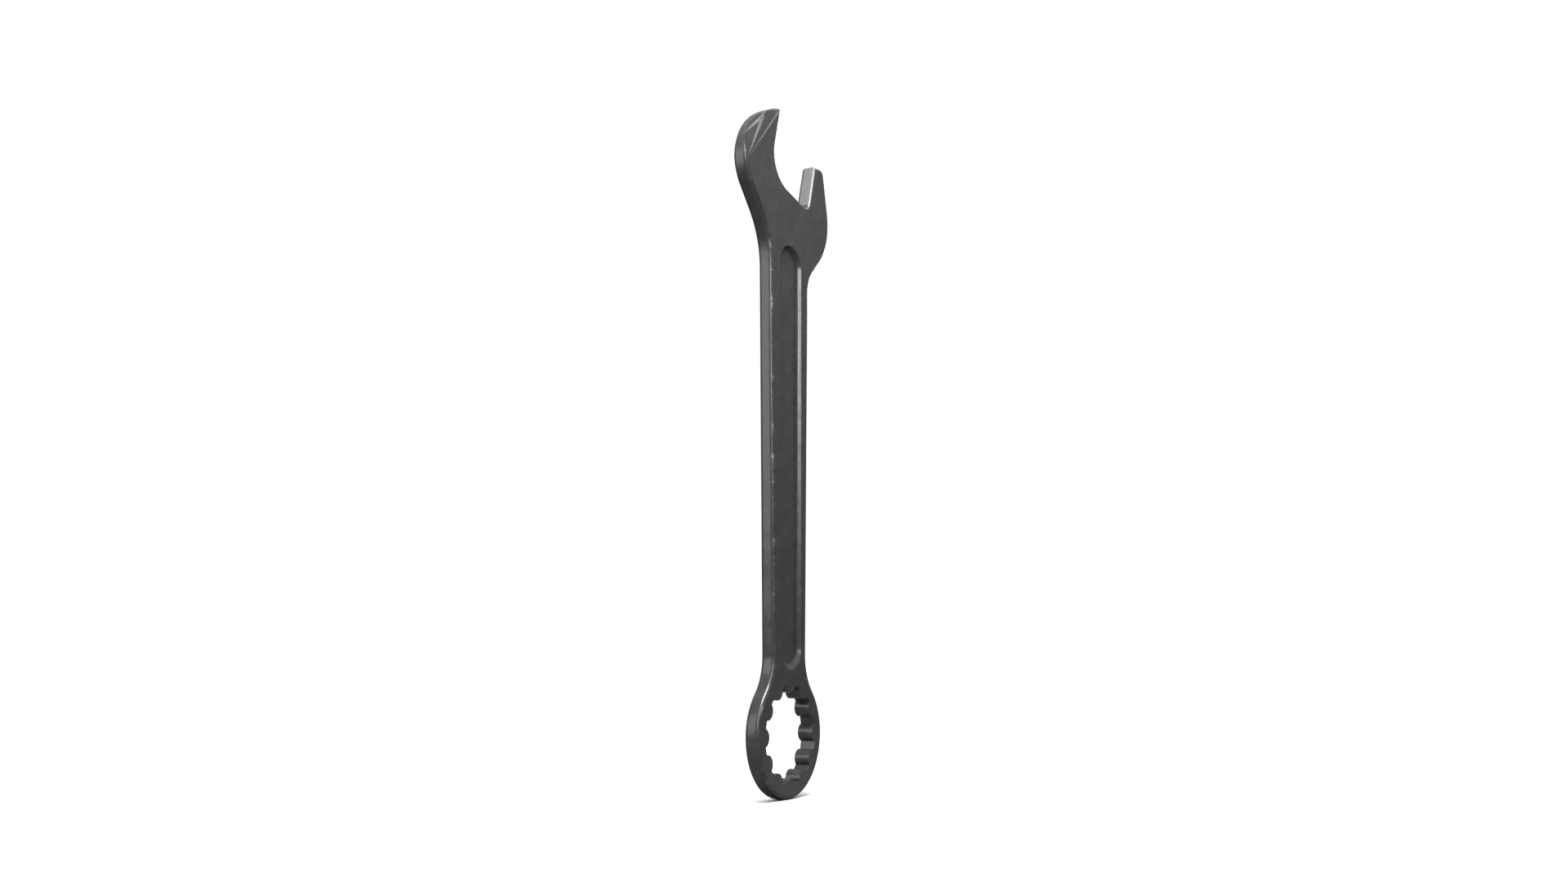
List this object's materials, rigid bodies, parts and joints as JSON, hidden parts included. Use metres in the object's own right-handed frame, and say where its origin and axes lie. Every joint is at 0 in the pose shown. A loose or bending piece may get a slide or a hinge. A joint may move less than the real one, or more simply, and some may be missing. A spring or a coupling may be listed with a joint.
{
  "type": "combination wrench",
  "caption": "Flat forged combination wrench: a hooked open end that leans from the shank, a many-point box end on the other end, and a long groove along each face.",
  "frame": {"origin": "middle of the twelve-point hole of the box end, half way through the wrench's thickness", "axes": "+Z along the shank from the box end towards the open end, -Y out of the front face, +X towards the short prong, the side the open end leans to"},
  "size_m": [0.0518, 0.005, 0.2129],
  "materials": {
    "forged_steel": "dark satin forged steel, black-oxide finish worn bright along its edges"
  },
  "bodies": {
    "root": {"wrench": "forged_steel"}
  },
  "joints": []
}
